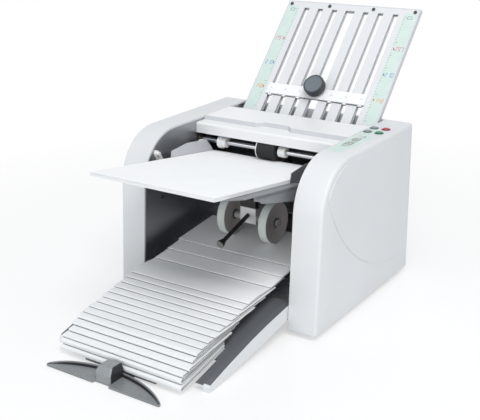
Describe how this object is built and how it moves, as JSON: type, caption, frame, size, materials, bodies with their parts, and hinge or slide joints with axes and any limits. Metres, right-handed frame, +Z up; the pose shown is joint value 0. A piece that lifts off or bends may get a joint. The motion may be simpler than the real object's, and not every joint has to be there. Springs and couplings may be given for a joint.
{
  "type": "paper folding machine",
  "caption": "Desktop paper folding machine with a friction feed table, slotted fold plates with clamped stops, stacker wheels and a delivery tray.",
  "frame": {"origin": "middle of the footprint box, on the desk surface", "axes": "+X to the operator's right, +Y towards the rear, +Z up"},
  "size_m": [0.358, 0.6882, 0.4058],
  "materials": {
    "housing_white": "fine satin moulded plastic",
    "cover_white": "smooth satin moulded plastic",
    "side_plate_grey": "dark grey semi-matt paint",
    "pan_steel": "zinc plated sheet",
    "foot_rubber": "matt rubber",
    "bright_steel": "turned and polished steel",
    "display_dark": "smoked window",
    "motor_grey": "plain motor can",
    "belt_black": "belt rubber",
    "inlet_black": "moulded plastic",
    "guide_steel": "painted sheet",
    "table_grey": "light grey semi-matt paint",
    "pad_brown": "friction rubber",
    "plate_white": "smooth white plastic",
    "plate_grey": "mid grey plastic",
    "screw_steel": "plated screws",
    "rail_grey": "light grey moulded plastic",
    "deck_dark": "dark grey moulded plastic",
    "bearing_bronze": "sintered bronze",
    "paper_white": "uncoated office paper",
    "roller_black": "fine grooved rubber",
    "bush_white": "natural nylon",
    "gear_ivory": "natural acetal",
    "fold_rubber": "ground rubber sleeves",
    "rod_black": "black semi-gloss",
    "wheel_grey": "pale green grey plastic",
    "stop_white": "smooth white plastic",
    "knob_slate": "soft dark slate plastic",
    "key_grey": "glossy key",
    "key_green": "glossy key",
    "key_red": "glossy key",
    "guide_grey": "grey moulded plastic",
    "clamp_clear": "milky nylon",
    "lever_white": "white moulded plastic",
    "wing_grey": "dark grey moulded plastic"
  },
  "bodies": {
    "chassis": {"left_housing": "housing_white", "right_housing": "housing_white", "left_side_plate": "side_plate_grey", "right_side_plate": "side_plate_grey", "base_pan": "pan_steel", "rear_cover": "housing_white", "feet": "foot_rubber", "tie_bars": "bright_steel", "display_window": "display_dark", "motor": "motor_grey", "drive_belt": "belt_black", "mains_inlet": "inlet_black", "paper_guides": "guide_steel", "feed_table": "table_grey", "separation_pad": "pad_brown", "upper_plate_front": "plate_white", "upper_plate_frame": "plate_grey", "plate_screws": "screw_steel", "lower_fold_plate": "plate_grey", "tray_rails": "rail_grey", "tray_deck": "deck_dark", "shaft_bearings": "bearing_bronze", "stacker_hanger": "pan_steel", "folded_sheets": "paper_white"},
    "feed_drive": {"feed_shaft": "bright_steel", "feed_roller": "roller_black", "shaft_bushes": "bush_white", "feed_gear": "gear_ivory"},
    "fold_drive_1": {"fold_roller_1": "fold_rubber", "fold_gear_1": "gear_ivory"},
    "fold_drive_2": {"fold_roller_2": "fold_rubber", "fold_gear_2": "gear_ivory"},
    "fold_drive_3": {"fold_roller_3": "fold_rubber", "fold_gear_3": "gear_ivory"},
    "fold_drive_4": {"fold_roller_4": "fold_rubber", "fold_gear_4": "gear_ivory"},
    "idler": {"idler_gear": "gear_ivory"},
    "motor_shaft": {"motor_pulley": "bright_steel"},
    "stacker": {"stacker_bracket": "bright_steel", "pull_rod": "rod_black"},
    "stacker_wheel_left": {"wheel_left": "wheel_grey"},
    "stacker_wheel_right": {"wheel_right": "wheel_grey"},
    "upper_plate_stop": {"upper_stop": "stop_white"},
    "upper_stop_clamp": {"upper_knob": "knob_slate"},
    "lower_plate_stop": {"lower_stop": "stop_white"},
    "lower_stop_clamp": {"lower_knob": "knob_slate"},
    "cover": {"top_cover": "cover_white"},
    "back_key": {"button_back": "key_grey"},
    "clear_key": {"button_clear": "key_grey"},
    "start_key": {"button_start": "key_green"},
    "stop_key": {"button_stop": "key_red"},
    "mains_switch": {"power_switch": "inlet_black"},
    "guide_l": {"left_guide": "guide_grey"},
    "guide_r": {"right_guide": "guide_grey"},
    "guide_clamp_l": {"left_guide_knob": "clamp_clear"},
    "guide_clamp_r": {"right_guide_knob": "clamp_clear"},
    "lever": {"table_lever": "lever_white"},
    "end_stop": {"tray_stop": "wing_grey"},
    "paper_stack": {"feed_paper": "paper_white"}
  },
  "joints": [
    {"name": "drive_spin", "type": "hinge", "parent": "chassis", "child": "fold_drive_2", "pos_m": [0, 0.14581, 0.1804], "axis": [-1, 0, 0], "continuous": true},
    {"name": "fold_1_spin", "type": "hinge", "parent": "chassis", "child": "fold_drive_1", "pos_m": [0, 0.12401, 0.20101], "axis": [1, 0, 0], "continuous": true},
    {"name": "fold_3_spin", "type": "hinge", "parent": "chassis", "child": "fold_drive_3", "pos_m": [0, 0.16879, 0.19968], "axis": [1, 0, 0], "continuous": true},
    {"name": "fold_4_spin", "type": "hinge", "parent": "chassis", "child": "fold_drive_4", "pos_m": [0, 0.16293, 0.15577], "axis": [1, 0, 0], "continuous": true},
    {"name": "idler_spin", "type": "hinge", "parent": "chassis", "child": "idler", "pos_m": [0, 0.09403, 0.19989], "axis": [-1, 0, 0], "continuous": true},
    {"name": "feed_spin", "type": "hinge", "parent": "chassis", "child": "feed_drive", "pos_m": [0, 0.06841, 0.2155], "axis": [1, 0, 0], "continuous": true},
    {"name": "motor_spin", "type": "hinge", "parent": "chassis", "child": "motor_shaft", "pos_m": [0, 0.12191, 0.05], "axis": [-1, 0, 0], "continuous": true},
    {"name": "stacker_slide", "type": "slide", "parent": "chassis", "child": "stacker", "axis": [0, 0.9945, 0.1045], "range_m": [-0.035, 0.02]},
    {"name": "wheel_left_spin", "type": "hinge", "parent": "stacker", "child": "stacker_wheel_left", "pos_m": [-0.038, 0.01891, 0.118], "axis": [1, 0, 0], "continuous": true},
    {"name": "wheel_right_spin", "type": "hinge", "parent": "stacker", "child": "stacker_wheel_right", "pos_m": [0.038, 0.01891, 0.118], "axis": [1, 0, 0], "continuous": true},
    {"name": "upper_stop_slide", "type": "slide", "parent": "chassis", "child": "upper_plate_stop", "axis": [0, 0.6871, 0.7266], "range_m": [-0.02, 0.15]},
    {"name": "upper_knob_turn", "type": "hinge", "parent": "upper_plate_stop", "child": "upper_stop_clamp", "pos_m": [0, 0.21907, 0.2797], "axis": [0, -0.7266, 0.6871], "range_deg": [0, 180]},
    {"name": "lower_stop_slide", "type": "slide", "parent": "chassis", "child": "lower_plate_stop", "axis": [0, 0.6428, -0.766], "range_m": [-0.045, 0.035]},
    {"name": "lower_knob_turn", "type": "hinge", "parent": "lower_plate_stop", "child": "lower_stop_clamp", "pos_m": [0, 0.26283, 0.06972], "axis": [0, 0.766, 0.6428], "range_deg": [0, 180]},
    {"name": "cover_open", "type": "hinge", "parent": "chassis", "child": "cover", "pos_m": [0, 0.14991, 0.244], "axis": [-1, 0, 0], "range_deg": [0, 95]},
    {"name": "back_press", "type": "slide", "parent": "chassis", "child": "back_key", "axis": [0, 0, -1], "range_m": [0, 0.0012], "stiffness_N_per_m": 500, "springref_m": -0.0004},
    {"name": "clear_press", "type": "slide", "parent": "chassis", "child": "clear_key", "axis": [0, 0, -1], "range_m": [0, 0.0012], "stiffness_N_per_m": 500, "springref_m": -0.0004},
    {"name": "start_press", "type": "slide", "parent": "chassis", "child": "start_key", "axis": [0, 0, -1], "range_m": [0, 0.0012], "stiffness_N_per_m": 500, "springref_m": -0.0004},
    {"name": "stop_press", "type": "slide", "parent": "chassis", "child": "stop_key", "axis": [0, 0, -1], "range_m": [0, 0.0012], "stiffness_N_per_m": 500, "springref_m": -0.0004},
    {"name": "mains_rock", "type": "hinge", "parent": "chassis", "child": "mains_switch", "pos_m": [-0.052, 0.20591, 0.042], "axis": [-1, 0, 0], "range_deg": [0, 12]},
    {"name": "left_guide_slide", "type": "slide", "parent": "chassis", "child": "guide_l", "axis": [-1, 0, 0], "range_m": [0, 0.01]},
    {"name": "right_guide_slide", "type": "slide", "parent": "chassis", "child": "guide_r", "axis": [1, 0, 0], "range_m": [0, 0.01]},
    {"name": "left_clamp_turn", "type": "hinge", "parent": "guide_l", "child": "guide_clamp_l", "pos_m": [-0.1135, 0.04591, 0.222], "axis": [0, 0, 1], "range_deg": [0, 180]},
    {"name": "right_clamp_turn", "type": "hinge", "parent": "guide_r", "child": "guide_clamp_r", "pos_m": [0.1135, 0.04591, 0.222], "axis": [0, 0, 1], "range_deg": [0, 180]},
    {"name": "lever_swing", "type": "hinge", "parent": "chassis", "child": "lever", "pos_m": [-0.131, -0.03909, 0.20302], "axis": [1, 0, 0], "range_deg": [-20, 30]},
    {"name": "end_stop_slide", "type": "slide", "parent": "chassis", "child": "end_stop", "axis": [0, -1, 0], "range_m": [0, 0.06]},
    {"name": "paper_slide", "type": "slide", "parent": "chassis", "child": "paper_stack", "axis": [0, -0.9895, 0.1444], "range_m": [0, 0.3]}
  ],
  "couplings": [
    {"joint": "fold_1_spin", "follows": "drive_spin", "ratio": 1},
    {"joint": "fold_3_spin", "follows": "drive_spin", "ratio": 1},
    {"joint": "fold_4_spin", "follows": "drive_spin", "ratio": 1},
    {"joint": "idler_spin", "follows": "drive_spin", "ratio": 1},
    {"joint": "feed_spin", "follows": "drive_spin", "ratio": 1},
    {"joint": "motor_spin", "follows": "drive_spin", "ratio": 2.5}
  ]
}
